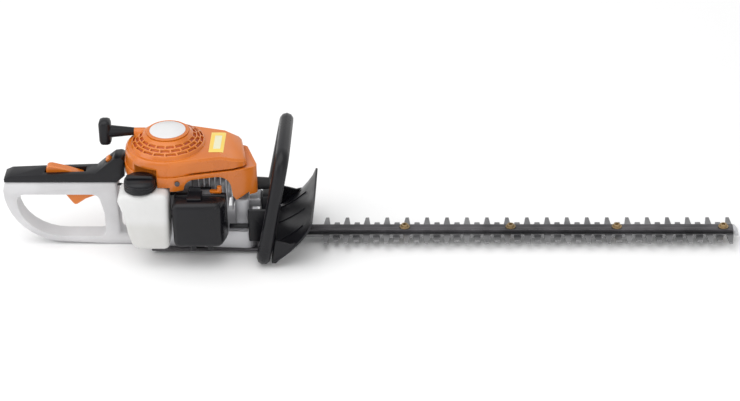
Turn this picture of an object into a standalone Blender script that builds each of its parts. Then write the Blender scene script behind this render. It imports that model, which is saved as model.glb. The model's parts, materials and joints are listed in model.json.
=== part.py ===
"""Petrol hedge trimmer with a rear handle, a front loop handle and two reciprocating blades.

Metres, +Z up, standing on Z = 0, blades pointing along +X, +Y to the operator's left.
Every piece is placed from the crankshaft axis (X = 0 under the empty "engine_axis"),
and that empty puts the middle of the whole length on the world's X = 0.
"""
import math

import bmesh
import bpy
from mathutils import Matrix, Vector

# ---------------------------------------------------------------- driving dimensions
GAP = 0.0003                 # clearance between pieces that touch

# cutting gear
TOOTH_PITCH = 0.030
LONG_TEETH = 21              # on each side of the upper blade
FIRST_TOOTH_X = 0.229        # from the crankshaft axis
LONG_TOOTH_REACH = 0.037     # from the blades' centre line to a long tooth's tip
SHORT_TOOTH_REACH = 0.027
SPINE_HALF_WIDTH = 0.0135
BLADE_THICKNESS = 0.0022
BLADE_TOP_Z = 0.016
BAR_WIDTH = 0.016
BAR_THICKNESS = 0.005
BOLT_COUNT = 4
BOLT_SPACING = 0.158
BOLT_FROM_LAST_TOOTH = 0.009
BOLT_RADIUS = 0.0025

# drive
GEAR_MODULE = 0.0015
PINION_TEETH = 12
GEAR_TEETH = 44
THROW = TOOTH_PITCH / 4      # eccentric throw, so each blade strokes half a pitch
ECCENTRIC_RADIUS = 0.008
DRUM_RADIUS = 0.027

# engine
CYLINDER_Z = 0.097           # height of the cylinder's axis
BORE_RADIUS = 0.0172
STROKE = 0.028
FIN_COUNT = 7
FLYWHEEL_RADIUS = 0.046
FAN_VANES = 12

# casings
COVER_RADIUS = 0.064
COVER_FRONT_X = 0.117
SPLIT_Z = 0.142              # joint between the starter cover and the shroud
CROWN_Z = 0.1843
SHELL = 0.0025               # wall of the covers and the tank
TANK_TOP_Z = 0.125
CAP_RADIUS = 0.0235
CAP_X = -0.037
CAP_FROM_FAN = 0.0062           # wall and room between the fan's rim and the cap

# handles
HANDLE_REAR_X = -0.250
HANDLE_WIDTH = 0.030
HANDLE_SPLIT_Z = 0.107       # joint between the white frame and the black grip cover
LOOP_RADIUS = 0.0105
LOOP_HALF_WIDTH = 0.084      # at the floor
LOOP_TOP_HALF_WIDTH = 0.070
LOOP_TOP_Z = 0.1735
GUARD_HALF_WIDTH = 0.084
GUARD_RIM_X, GUARD_RIM_Z = 0.212, 0.075

# worked out from the above
GEAR_X = GEAR_MODULE * (PINION_TEETH + GEAR_TEETH) / 2
BLADE_STROKE = 2 * THROW
LAST_TOOTH_X = FIRST_TOOTH_X + (LONG_TEETH - 1) * TOOTH_PITCH
LAST_BOLT_X = LAST_TOOTH_X - BOLT_FROM_LAST_TOOTH
BAR_END_X = LAST_TOOTH_X + 0.005
TIP_X = BAR_END_X + 0.008
UPPER_BLADE_Z = BLADE_TOP_Z - BLADE_THICKNESS / 2
LOWER_BLADE_Z = UPPER_BLADE_Z - BLADE_THICKNESS - GAP
BAR_TOP_Z = BLADE_TOP_Z + GAP + BAR_THICKNESS
WINDOW = ECCENTRIC_RADIUS + THROW + 0.0015   # half-width of the drive windows in the blades
YOKE_BACK, YOKE_FRONT, YOKE_TAPER, YOKE_SIDE = 0.006, 0.008, 0.012, 0.0065   # metal round a window
CAP_Y = -math.sqrt((FLYWHEEL_RADIUS + CAP_RADIUS + CAP_FROM_FAN) ** 2 - CAP_X ** 2)
ENGINE_X = -(TIP_X + HANDLE_REAR_X) / 2      # puts the middle of the length on world X = 0

# ---------------------------------------------------------------- scene
for old in list(bpy.data.objects):
    bpy.data.objects.remove(old, do_unlink=True)

PARTS = bpy.data.collections.new("hedge_trimmer")
CUTTERS = bpy.data.collections.new("hedge_trimmer_cutters")
bpy.context.scene.collection.children.link(PARTS)
bpy.context.scene.collection.children.link(CUTTERS)

ENGINE = bpy.data.objects.new("engine_axis", None)
ENGINE.location = (ENGINE_X, 0, 0)
PARTS.objects.link(ENGINE)

# colour, roughness, metallic
LOOKS = {
    "white_plastic": ((0.70, 0.69, 0.68), 0.45, 0),
    "black_plastic": ((0.022, 0.022, 0.026), 0.50, 0),
    "orange_plastic": ((0.70, 0.19, 0.025), 0.38, 0),
    "tank_plastic": ((0.72, 0.72, 0.70), 0.40, 0),
    "badge_plastic": ((0.85, 0.85, 0.85), 0.35, 0),
    "rubber": ((0.015, 0.015, 0.015), 0.80, 0),
    "foam": ((0.10, 0.10, 0.11), 0.95, 0),
    "rope": ((0.75, 0.74, 0.70), 0.90, 0),
    "cast_metal": ((0.36, 0.36, 0.37), 0.50, 0.9),
    "steel": ((0.50, 0.50, 0.52), 0.30, 1),
    "dark_steel": ((0.12, 0.12, 0.13), 0.45, 0.8),
    "brass": ((0.60, 0.45, 0.22), 0.35, 1),
}


# ---------------------------------------------------------------- helpers
def finish(name, mesh, look=None, pivot=None):
    """An object under the engine's axis; `look` is left out for a shape that only joins or cuts."""
    piece = bpy.data.objects.new(name, mesh)
    (PARTS if look else CUTTERS).objects.link(piece)
    piece.parent = ENGINE
    if look:
        colour, roughness, metallic = LOOKS[look]
        material = bpy.data.materials.new(name + "_" + look)
        material.use_nodes = True
        shader = material.node_tree.nodes["Principled BSDF"]
        shader.inputs["Base Color"].default_value = (*colour, 1)
        shader.inputs["Roughness"].default_value = roughness
        shader.inputs["Metallic"].default_value = metallic
        mesh.materials.append(material)
    if pivot:
        mesh.transform(Matrix.Translation(-Vector(pivot)))
        piece.location = pivot
    return piece


def box(name, low, high, look=None, pivot=None, edge=0.0, steps=2):
    """A box between two corners, its edges rounded by `edge`."""
    shape = bmesh.new()
    bmesh.ops.create_cube(shape, size=1)
    low, high = Vector(low), Vector(high)
    bmesh.ops.scale(shape, vec=high - low, verts=shape.verts)
    bmesh.ops.translate(shape, vec=(low + high) / 2, verts=shape.verts)
    piece = finish(name, to_mesh(name, shape), look, pivot)
    if edge:
        rounded(piece, edge, steps)
    return piece


def to_mesh(name, shape):
    mesh = bpy.data.meshes.new(name)
    shape.to_mesh(mesh)
    shape.free()
    return mesh


AXES = {"X": Matrix.Rotation(math.pi / 2, 4, "Y"), "Y": Matrix.Rotation(-math.pi / 2, 4, "X"),
        "Z": Matrix.Identity(4), "-X": Matrix.Rotation(-math.pi / 2, 4, "Y")}


def rod(name, start, length, radius, axis="Z", look=None, pivot=None, sides=24, end_radius=None):
    """A cylinder or cone from `start` along +`axis`."""
    shape = bmesh.new()
    bmesh.ops.create_cone(shape, cap_ends=True, segments=sides, radius1=radius,
                          radius2=radius if end_radius is None else end_radius, depth=length)
    bmesh.ops.translate(shape, vec=(0, 0, length / 2), verts=shape.verts)
    bmesh.ops.transform(shape, matrix=Matrix.Translation(start) @ AXES[axis], verts=shape.verts)
    return finish(name, to_mesh(name, shape), look, pivot)


def turned(name, profile, base, axis="Z", look=None, pivot=None, steps=24):
    """A solid of revolution; `profile` runs down its outer side as (radius, height) pairs."""
    mesh = bpy.data.meshes.new(name)
    shape = bmesh.new()
    points = [shape.verts.new((radius, 0, height)) for radius, height in profile]
    for upper, lower in zip(points, points[1:]):
        shape.edges.new((upper, lower))
    shape.to_mesh(mesh)
    shape.free()
    spun = bpy.data.objects.new(name + "_profile", mesh)
    CUTTERS.objects.link(spun)
    screw = spun.modifiers.new("Screw", "SCREW")
    screw.steps = screw.render_steps = steps
    screw.use_merge_vertices = True
    screw.merge_threshold = 0.00001
    solid = evaluated_mesh(spun)
    solid.transform(Matrix.Translation(base) @ AXES[axis])
    return finish(name, solid, look, pivot)


def evaluated_mesh(source, dissolve=False):
    """The evaluated mesh of a curve or a modified object, welded; the source is removed."""
    graph = bpy.context.evaluated_depsgraph_get()
    mesh = bpy.data.meshes.new_from_object(source.evaluated_get(graph))
    mesh.transform(source.matrix_world)
    shape = bmesh.new()
    shape.from_mesh(mesh)
    bmesh.ops.remove_doubles(shape, verts=shape.verts, dist=0.00001)
    if dissolve:
        bmesh.ops.dissolve_limit(shape, angle_limit=math.radians(0.2), verts=shape.verts,
                                 edges=shape.edges)
    bmesh.ops.recalc_face_normals(shape, faces=shape.faces)
    shape.to_mesh(mesh)
    shape.free()
    mesh.materials.clear()
    bpy.data.objects.remove(source, do_unlink=True)
    return mesh


def flat(name, loops, start, thickness, plane="XY", look=None, pivot=None):
    """A flat outline and its holes, thickened from `start` along the plane's positive normal."""
    curve = bpy.data.curves.new(name, "CURVE")
    curve.dimensions = "2D"
    curve.fill_mode = "BOTH"
    curve.extrude = thickness / 2
    curve.resolution_u = 1
    for loop in loops:
        spline = curve.splines.new("POLY")
        spline.points.add(len(loop) - 1)
        for point, (u, v) in zip(spline.points, loop):
            point.co = (u, v, 0, 1)
        spline.use_cyclic_u = True
    outline = bpy.data.objects.new(name + "_outline", curve)
    CUTTERS.objects.link(outline)
    middle = start + thickness / 2
    turn = Matrix.Rotation(math.pi / 2, 4, "X") if plane == "XZ" else Matrix.Identity(4)
    offset = (0, middle, 0) if plane == "XZ" else (0, 0, middle)
    mesh = evaluated_mesh(outline, dissolve=len(loops) == 1)
    mesh.transform(Matrix.Translation(offset) @ turn)
    return finish(name, mesh, look, pivot)


def tube(name, points, radius, look=None, pivot=None, bend=0.0, sides=2):
    """A round bar along `points`, with its corners rounded over `bend` each way."""
    route = rounded_route([Vector(point) for point in points], bend)
    curve = bpy.data.curves.new(name, "CURVE")
    curve.dimensions = "3D"
    curve.bevel_depth = radius
    curve.bevel_resolution = sides
    curve.use_fill_caps = True
    curve.resolution_u = 1
    spline = curve.splines.new("POLY")
    spline.points.add(len(route) - 1)
    for point, place in zip(spline.points, route):
        point.co = (*place, 1)
    bar = bpy.data.objects.new(name + "_route", curve)
    CUTTERS.objects.link(bar)
    return finish(name, evaluated_mesh(bar), look, pivot)


def rounded_route(points, bend, steps=6):
    if not bend:
        return points
    route = [points[0]]
    for before, corner, after in zip(points, points[1:], points[2:]):
        start = corner + (before - corner).normalized() * bend
        end = corner + (after - corner).normalized() * bend
        for step in range(steps + 1):
            t = step / steps
            route.append(start * (1 - t) ** 2 + corner * 2 * t * (1 - t) + end * t ** 2)
    return route + [points[-1]]


def arc(centre_u, centre_v, radius, start, end, steps=8, radius_v=None):
    """Points of an arc from `start` to `end` degrees, or of an ellipse's when radius_v is given."""
    angles = [math.radians(start + (end - start) * step / steps) for step in range(steps + 1)]
    high = radius if radius_v is None else radius_v
    return [(centre_u + radius * math.cos(a), centre_v + high * math.sin(a)) for a in angles]


def slot(u0, u1, v, radius, steps=6):
    """A round-ended slot along u."""
    return arc(u1, v, radius, -90, 90, steps) + arc(u0, v, radius, 90, 270, steps)


def rounded(piece, width, steps=2, angle=35):
    bevel = piece.modifiers.new("Bevel", "BEVEL")
    bevel.width = width
    bevel.segments = steps
    bevel.limit_method = "ANGLE"
    bevel.angle_limit = math.radians(angle)
    return piece


def combine(piece, other, operation):
    other.hide_render = True
    other.display_type = "WIRE"
    step = piece.modifiers.new(other.name, "BOOLEAN")
    step.operation = operation
    step.object = other
    step.solver = "EXACT"
    return piece


def cut(piece, *tools):
    for tool in tools:
        combine(piece, tool, "DIFFERENCE")
    return piece


def join(piece, *others):
    for other in others:
        combine(piece, other, "UNION")
    return piece


# ---------------------------------------------------------------- blades and guide bar
def tooth_row(teeth, side, reach, base_half, tip_half):
    """Outline points of one side's teeth, from the engine outwards; `side` is +1 or -1."""
    points = []
    for x in teeth:
        points += [(x - base_half, side * SPINE_HALF_WIDTH), (x - tip_half, side * reach),
                   (x + tip_half, side * reach), (x + base_half, side * SPINE_HALF_WIDTH)]
    return points


def bolt_places():
    return [LAST_BOLT_X - BOLT_SPACING * step for step in range(BOLT_COUNT)][::-1]


def blade(name, middle_z, teeth, reach, tip_half, end_x, travel):
    """A toothed blade with its drive window; `travel` is how far it slides along X (signed).

    The last bolt's slot runs out at the blade's end.
    """
    back, front = min(0, -travel), max(0, -travel)
    window_low, window_high = GEAR_X - WINDOW + back, GEAR_X + WINDOW + front
    yoke_half = WINDOW + YOKE_SIDE
    yoke_back, yoke_front = window_low - YOKE_BACK, window_high + YOKE_FRONT
    far_side = tooth_row(teeth, 1, reach, 0.0055, tip_half)
    near_side = tooth_row(teeth, -1, reach, 0.0055, tip_half)[::-1]
    play = BOLT_RADIUS + 0.0004
    open_slot = [(end_x, play)] + arc(LAST_BOLT_X + back, 0, play, 90, 270, 6) + [(end_x, -play)]
    outline = ([(yoke_back, -yoke_half), (yoke_back, yoke_half), (yoke_front, yoke_half),
                (yoke_front + YOKE_TAPER, SPINE_HALF_WIDTH)] + far_side
               + [(end_x, SPINE_HALF_WIDTH - 0.003)] + open_slot + [(end_x, -SPINE_HALF_WIDTH + 0.003)]
               + near_side + [(yoke_front + YOKE_TAPER, -SPINE_HALF_WIDTH), (yoke_front, -yoke_half)])
    window = slot(window_low + WINDOW, window_high - WINDOW, 0, WINDOW)
    slots = [slot(x + back, x + front, 0, play) for x in bolt_places()[:-1]]
    flat(name, [outline, window] + slots, middle_z - BLADE_THICKNESS / 2, BLADE_THICKNESS, look="steel")


def blades():
    long_teeth = [FIRST_TOOTH_X + TOOTH_PITCH * step for step in range(LONG_TEETH)]
    short_teeth = [x + TOOTH_PITCH / 2 for x in long_teeth[:-1]]
    blade("upper_blade", UPPER_BLADE_Z, long_teeth, LONG_TOOTH_REACH, 0.0025,
          LAST_TOOTH_X + 0.006, -BLADE_STROKE)
    blade("lower_blade", LOWER_BLADE_Z, short_teeth, SHORT_TOOTH_REACH, 0.0037,
          LAST_TOOTH_X - 0.009, BLADE_STROKE)


BAR_START_X = 0.092


def guide_bar():
    half = BAR_WIDTH / 2
    outline = [(BAR_START_X, -half), (BAR_END_X, -half), (BAR_END_X, half), (BAR_START_X, half)]
    holes = [arc(x, 0, BOLT_RADIUS + GAP, 0, 330, 11) for x in bolt_places()]
    flat("guide_bar", [outline] + holes, BLADE_TOP_Z + GAP, BAR_THICKNESS, look="dark_steel")
    start = BAR_END_X + GAP
    low = LOWER_BLADE_Z - BLADE_THICKNESS
    wedge = [(start, BAR_TOP_Z), (start + 0.002, BAR_TOP_Z), (TIP_X, low + 0.004), (TIP_X, low),
             (start + 0.0022, low), (start + 0.0022, BLADE_TOP_Z + 0.001), (start, BLADE_TOP_Z + 0.001)]
    flat("tip_guard", [wedge], -half, BAR_WIDTH, "XZ", "cast_metal")


def bar_bolts():
    """Each bolt holds the bar on the blades: head and washer above, nut below."""
    washer_z = BAR_TOP_Z + GAP
    nut_z = LOWER_BLADE_Z - BLADE_THICKNESS / 2 - GAP
    profile = [(0, washer_z + 0.0045), (0.0050, washer_z + 0.0045), (0.0055, washer_z + 0.0040),
               (0.0055, washer_z + 0.0012), (0.0080, washer_z + 0.0012), (0.0080, washer_z),
               (BOLT_RADIUS, washer_z), (BOLT_RADIUS, nut_z), (0.0050, nut_z),
               (0.0050, nut_z - 0.0035), (0, nut_z - 0.0035)]
    for number, x in enumerate(bolt_places(), 1):
        turned("bar_bolt_%d" % number, profile, (x, 0, 0), look="brass", steps=8)


# ---------------------------------------------------------------- gears and clutch
def gear_outline(teeth, thickness_share, centre_x, phase):
    """Straight-flanked teeth; `thickness_share` of the circular pitch is tooth at the pitch circle."""
    pitch_radius = GEAR_MODULE * teeth / 2
    pitch = math.pi * GEAR_MODULE
    outer, inner = pitch_radius + 0.9 * GEAR_MODULE, pitch_radius - 1.25 * GEAR_MODULE
    flank = math.tan(math.radians(20))
    tip_half = (pitch * thickness_share / 2 - flank * 0.9 * GEAR_MODULE) / outer
    root_half = (pitch * thickness_share / 2 + flank * 1.25 * GEAR_MODULE) / inner
    points = []
    for tooth in range(teeth):
        middle = 2 * math.pi * tooth / teeth + phase
        for radius, turn in ((inner, -root_half), (outer, -tip_half), (outer, tip_half),
                             (inner, root_half)):
            angle = middle + turn
            points.append((centre_x + radius * math.cos(angle), radius * math.sin(angle)))
    return points


GEAR_Z = 0.0185
GEAR_FACE = 0.008
DECK_Z = 0.0283              # underside of the gear housing's deck
DECK_THICKNESS = 0.005
DRUM_Z = DECK_Z + DECK_THICKNESS + 0.0012
DRUM_HEIGHT = 0.0155
DRUM_WALL = 0.0015
HUB_RADIUS = 0.010
SHAFT_RADIUS = 0.0055
FIT = 0.0003                 # radial clearance of a shaft in its bore


def drive_gear():
    """The large gear, its shaft and the two eccentrics, one for each blade."""
    outline = gear_outline(GEAR_TEETH, 0.44, GEAR_X, 0)
    gear = flat("drive_gear", [outline], GEAR_Z, GEAR_FACE, look="steel", pivot=(GEAR_X, 0, 0))
    upper_z = UPPER_BLADE_Z - BLADE_THICKNESS / 2
    lower_z = LOWER_BLADE_Z - BLADE_THICKNESS / 2
    shaft_start = lower_z - 0.002
    shaft = rod("gear_shaft", (GEAR_X, 0, shaft_start), DECK_Z + 0.003 - shaft_start, 0.005)
    upper = rod("upper_eccentric", (GEAR_X + THROW, 0, upper_z), GEAR_Z - upper_z + 0.001,
                ECCENTRIC_RADIUS)
    lower = rod("lower_eccentric", (GEAR_X - THROW, 0, lower_z), upper_z - lower_z + 0.0005,
                ECCENTRIC_RADIUS)
    join(gear, shaft, upper, lower)


def clutch():
    outline = gear_outline(PINION_TEETH, 0.38, 0, math.pi / PINION_TEETH)
    drum = flat("clutch_drum", [outline], GEAR_Z, GEAR_FACE + 0.0005, look="dark_steel",
                pivot=(0, 0, DRUM_Z))
    neck = rod("pinion_neck", (0, 0, GEAR_Z + 0.002), DRUM_Z - GEAR_Z, 0.005)
    cup = rod("drum_cup", (0, 0, DRUM_Z), DRUM_HEIGHT, DRUM_RADIUS, sides=32)
    inside = rod("drum_inside", (0, 0, DRUM_Z + 0.002), DRUM_HEIGHT, DRUM_RADIUS - DRUM_WALL,
                 sides=32)
    cut(join(drum, neck, cup), inside)
    hub_z = DRUM_Z + 0.0030
    hub = rod("clutch_hub", (0, 0, hub_z), 0.012, HUB_RADIUS, look="steel", pivot=(0, 0, hub_z))
    cut(hub, rod("hub_bore", (0, 0, hub_z - 0.001), 0.014, SHAFT_RADIUS + FIT))
    inner, outer = HUB_RADIUS + 0.001, DRUM_RADIUS - DRUM_WALL - 0.0018
    for number, middle in ((1, 0), (2, 180)):
        shoe = (arc(0, 0, outer, middle - 68, middle + 68, 10)
                + arc(0, 0, inner, middle + 60, middle - 60, 8))
        flat("clutch_shoe_%d" % number, [shoe], hub_z + 0.001, 0.010, look="dark_steel",
             pivot=(0, 0, hub_z))


# ---------------------------------------------------------------- crankshaft, piston, flywheel
ROD_SPACE = 0.015            # between the crank webs
WEB_RADIUS = 0.022
WEB = 0.006
PISTON_LENGTH = 0.026
PISTON_X = 0.0285            # skirt end at the bottom of the stroke
FLYWHEEL_Z = 0.129
SHAFT_TOP_Z = 0.155


def crankshaft():
    """Two half shafts with their webs; the crank pin moves with the connecting rod."""
    low_web, high_web = CYLINDER_Z - ROD_SPACE / 2, CYLINDER_Z + ROD_SPACE / 2
    lower_end = DRUM_Z + 0.0025
    turned("lower_crank", [(0, low_web), (WEB_RADIUS, low_web), (WEB_RADIUS, low_web - WEB),
                           (SHAFT_RADIUS, low_web - WEB), (SHAFT_RADIUS, lower_end), (0, lower_end)],
           (0, 0, 0), look="steel")
    turned("upper_crank", [(0, SHAFT_TOP_Z), (SHAFT_RADIUS, SHAFT_TOP_Z),
                           (SHAFT_RADIUS, high_web + WEB), (WEB_RADIUS, high_web + WEB),
                           (WEB_RADIUS, high_web), (0, high_web)], (0, 0, 0), look="steel")


def piston_group():
    pin_x = -STROKE / 2
    pin_half = ROD_SPACE / 2 - 0.0005
    rod("crank_pin", (pin_x, 0, CYLINDER_Z - pin_half), 2 * pin_half, 0.005, look="steel", sides=16)
    wrist_x = PISTON_X + 0.013
    big, small = 0.0085, 0.0065
    beam = (arc(pin_x, 0, big, 40, 320, 12) + arc(wrist_x, 0, small, -140, 140, 10))
    holes = [arc(pin_x, 0, 0.005 + FIT, 0, 337.5, 15), arc(wrist_x, 0, 0.004 + FIT, 0, 337.5, 15)]
    flat("connecting_rod", [beam] + holes, CYLINDER_Z - 0.004, 0.008, look="steel")
    radius = BORE_RADIUS - 0.0004
    piston = rod("piston", (PISTON_X, 0, CYLINDER_Z), PISTON_LENGTH, radius, "X", "cast_metal")
    hollow = rod("piston_inside", (PISTON_X - 0.001, 0, CYLINDER_Z), PISTON_LENGTH - 0.004,
                 radius - 0.003, "X")
    wrist_half = radius - 0.0025
    bore = rod("wrist_bore", (wrist_x, 0, CYLINDER_Z - radius - 0.001), 2 * radius + 0.002,
               0.004 + FIT, sides=16)
    cut(piston, hollow, bore)
    rod("wrist_pin", (wrist_x, 0, CYLINDER_Z - wrist_half), 2 * wrist_half, 0.004, look="steel",
        sides=16)


def flywheel():
    """Base disc, hub and the fan's vanes, bored for the crankshaft."""
    base = rod("flywheel", (0, 0, FLYWHEEL_Z), 0.003, FLYWHEEL_RADIUS, look="cast_metal", sides=36)
    vanes = bmesh.new()
    for number in range(FAN_VANES):
        ring = bmesh.ops.create_cube(vanes, size=1)["verts"]
        bmesh.ops.scale(vanes, vec=(FLYWHEEL_RADIUS - 0.024, 0.002, 0.017), verts=ring)
        middle = (FLYWHEEL_RADIUS + 0.024) / 2 - 0.0005
        lean = Matrix.Translation((middle, 0, FLYWHEEL_Z + 0.0105)) @ Matrix.Rotation(0.35, 4, "Z")
        turn = Matrix.Rotation(2 * math.pi * number / FAN_VANES, 4, "Z")
        bmesh.ops.transform(vanes, matrix=turn @ lean, verts=ring)
    fan = finish("fan_vanes", to_mesh("fan_vanes", vanes))
    hub = rod("flywheel_hub", (0, 0, FLYWHEEL_Z + 0.001), 0.019, 0.012)
    bore = rod("flywheel_bore", (0, 0, FLYWHEEL_Z - 0.001), 0.03, SHAFT_RADIUS + FIT)
    cut(join(base, fan, hub), bore)


def crankcase():
    top, bottom = CYLINDER_Z + 0.0215, CYLINDER_Z - 0.029
    case = rod("crankcase", (0, 0, bottom), top - bottom, 0.030, look="cast_metal")
    flange = box("case_flange", (0.005, -0.026, CYLINDER_Z - 0.024), (0.0342, 0.026, top), edge=0.003)
    arm = box("case_arm", (-0.045, -0.012, 0.0695), (-0.025, 0.012, 0.0800), edge=0.002, steps=1)
    pad = box("case_pad", (-0.066, -0.012, 0.0600), (-0.036, 0.012, 0.0800), edge=0.002, steps=1)
    cavity = rod("case_cavity", (0, 0, CYLINDER_Z - 0.017), 0.034, WEB_RADIUS + 0.002)
    shaft = rod("case_bore", (0, 0, bottom - 0.001), 0.06, SHAFT_RADIUS + FIT)
    throat = rod("case_throat", (0.010, 0, CYLINDER_Z), 0.03, BORE_RADIUS, "X")
    cut(join(case, flange, arm, pad), cavity, shaft, throat)


HEAD_X = 0.0945
PORT_X = 0.051
PORT_FACE_Y = 0.031


def cylinder():
    """Barrel with square cooling fins, a closed head and a port on each side."""
    start = 0.0345
    barrel = rod("cylinder", (start, 0, CYLINDER_Z), HEAD_X - start, 0.0215, "X", "cast_metal", sides=16)
    fins = bmesh.new()
    for number in range(FIN_COUNT):
        fin = bmesh.ops.create_cube(fins, size=1)["verts"]
        bmesh.ops.scale(fins, vec=(0.002, 0.060, 0.058), verts=fin)
        x = 0.0445 + number * (HEAD_X - 0.0460) / (FIN_COUNT - 1)
        bmesh.ops.translate(fins, vec=(x, 0, CYLINDER_Z + 0.0005), verts=fin)
    fan = finish("cylinder_fins", to_mesh("cylinder_fins", fins))
    ports = box("cylinder_ports", (PORT_X - 0.010, -PORT_FACE_Y, CYLINDER_Z - 0.010),
                (PORT_X + 0.010, PORT_FACE_Y, CYLINDER_Z + 0.010))
    bore = rod("cylinder_bore", (start - 0.001, 0, CYLINDER_Z), 0.0505, BORE_RADIUS, "X")
    port_hole = rod("port_hole", (PORT_X, -0.04, CYLINDER_Z), 0.08, 0.0065, "Y", sides=16)
    plug_hole = rod("plug_hole", (0.08, 0, CYLINDER_Z), 0.03, 0.005 + FIT, "X", sides=16)
    cut(join(barrel, fan, ports), bore, port_hole, plug_hole)


def ignition():
    seat = HEAD_X + GAP
    turned("spark_plug", [(0, 0.0400), (0.0035, 0.0400), (0.0055, 0.0380), (0.0055, 0.0185),
                          (0.0090, 0.0185), (0.0090, 0.0100), (0.0050, 0.0100), (0.0050, 0),
                          (0, 0)], (seat - 0.010, 0, CYLINDER_Z), "X", "steel", steps=12)
    boot = rod("plug_boot", (seat + 0.0145, 0, CYLINDER_Z), 0.038, 0.0110, "X", "rubber",
               end_radius=0.0085)
    cut(boot, rod("boot_bore", (seat + 0.01, 0, CYLINDER_Z), 0.0215, 0.0058, "X", sides=16))
    box("ignition_module", (FLYWHEEL_RADIUS + 0.0015, -0.015, 0.130),
        (FLYWHEEL_RADIUS + 0.0160, 0.015, 0.1400), "black_plastic", edge=0.001, steps=1)
    tube("ignition_lead", [(FLYWHEEL_RADIUS + 0.0165, 0, 0.1355), (0.100, 0, 0.1355),
                           (0.116, 0, 0.1255), (0.116, 0, 0.1082)], 0.0028, "rubber", bend=0.008,
         sides=1)


# ---------------------------------------------------------------- air and exhaust
def intake():
    near = -PORT_FACE_Y - GAP
    flange = box("intake_flange", (PORT_X - 0.012, near - 0.004, CYLINDER_Z - 0.012),
                 (PORT_X + 0.012, near, CYLINDER_Z + 0.012), "black_plastic")
    cut(flange, rod("flange_hole", (PORT_X, near - 0.006, CYLINDER_Z), 0.01, 0.0065, "Y", sides=16))
    body_near = near - 0.004 - GAP
    body = box("carburettor", (PORT_X - 0.015, body_near - 0.020, CYLINDER_Z - 0.014),
               (PORT_X + 0.015, body_near, CYLINDER_Z + 0.010), "cast_metal", edge=0.001, steps=1)
    cut(body, rod("carburettor_bore", (PORT_X, body_near - 0.03, CYLINDER_Z), 0.04, 0.0065, "Y",
                  sides=16))
    return body_near - 0.020 - GAP


BOX_LOW = (0.0095, 0.0385)   # X and Z of the filter box's lower corner
BOX_HIGH = (0.0800, 0.1110)
BOX_FRONT_Y = -0.091
BOX_WALL = 0.0025


def filter_box(plate_y):
    """Base pan, foam element and pull-off cover; `plate_y` is where the pan's plate starts."""
    (x0, z0), (x1, z1) = BOX_LOW, BOX_HIGH
    joint = plate_y - 0.003
    pan = box("filter_base", (x0 + 0.001, joint, z0 + 0.001), (x1 + 0.007, plate_y + 0.008, z1 - 0.001),
              "black_plastic", edge=0.003)
    pocket = box("pan_pocket", (PORT_X - 0.019, plate_y, CYLINDER_Z - 0.018),
                 (PORT_X + 0.019, plate_y + 0.02, z1 + 0.01))
    air = rod("pan_air_hole", (PORT_X, joint - 0.002, CYLINDER_Z), 0.02, 0.0075, "Y", sides=16)
    recess = rod("primer_recess", (x0 - 0.002, plate_y + 0.0035, 0.085), 0.009, 0.0047, "X", sides=16)
    cut(pan, pocket, air, recess)
    box("filter_element", (x0 + 0.007, joint - GAP - 0.018, z0 + 0.007),
        (x1 - 0.004, joint - GAP, z1 - 0.006), "foam", edge=0.003)
    cover = tapered_cover(joint - GAP)
    inside = box("cover_inside", (x0 + BOX_WALL, BOX_FRONT_Y + BOX_WALL, z0 + BOX_WALL),
                 (x1 - 0.0005, joint + 0.01, z1 - BOX_WALL), edge=0.005)
    feet = [rod("cover_foot_%d" % n, (x0 + 0.028 + 0.025 * n, BOX_FRONT_Y + 0.010, z0 - 0.0065), 0.012,
                0.004, sides=12) for n in range(2)]
    cut(join(cover, *feet), inside)
    latch = box("filter_latch", (0.031, joint - 0.020, z1 + GAP), (0.052, joint + 0.006, z1 + 0.004),
                "black_plastic", pivot=(0.0415, joint - 0.018, z1 + 0.002), edge=0.001)
    lip = box("latch_lip", (0.033, joint + 0.0035, z1 + 0.001), (0.050, joint + 0.006, z1 + 0.010))
    join(latch, lip)
    turned("primer_bulb", [(0, 0.0045), (0.0025, 0.0041), (0.0040, 0.0028), (0.0043, 0.0018),
                           (0.0043, 0), (0, 0)], (x0 + 0.0012, plate_y + 0.0035, 0.085), "-X", "rubber",
           steps=16)
    lever = flat("choke_lever", [slot(0.0660, 0.0770, plate_y + 0.004, 0.0035)], z1 + GAP, 0.003,
                 look="orange_plastic", pivot=(0.0660, plate_y + 0.004, z1))
    knob = rod("choke_knob", (0.0770, plate_y + 0.004, z1 + 0.002), 0.008, 0.0035, sides=16)
    join(lever, knob)


def tapered_cover(joint):
    """The cover's outer form: its right side leans out towards the engine."""
    (x0, z0), (x1, z1) = BOX_LOW, BOX_HIGH
    cover = box("filter_cover", (x0, BOX_FRONT_Y, z0), (x1, joint, z1), "black_plastic")
    for vertex in cover.data.vertices:
        if vertex.co.x > x0 + 0.01 and vertex.co.y > BOX_FRONT_Y + 0.01:
            vertex.co.x += 0.009
    return rounded(cover, 0.008, 3)


def exhaust():
    far = PORT_FACE_Y + GAP
    muffler = box("muffler", (0.034, far, 0.072), (0.086, far + 0.031, 0.118), "dark_steel", edge=0.005)
    cut(muffler, rod("muffler_inlet", (PORT_X, far - 0.01, CYLINDER_Z), 0.025, 0.0065, "Y", sides=16),
        rod("muffler_outlet", (0.076, far + 0.02, 0.084), 0.02, 0.004, "Y", sides=16),
        box("muffler_chamber", (0.037, far + 0.003, 0.075), (0.083, far + 0.028, 0.115)))
    plate_y = far + 0.031 + GAP
    guard = box("muffler_guard", (0.028, plate_y, 0.066), (0.092, plate_y + 0.0025, 0.1180),
                "black_plastic")
    for number in range(5):
        z = 0.073 + 0.009 * number
        cut(guard, box("guard_slot_%d" % number, (0.036, plate_y - 0.002, z),
                       (0.084, plate_y + 0.005, z + 0.004)))


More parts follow.
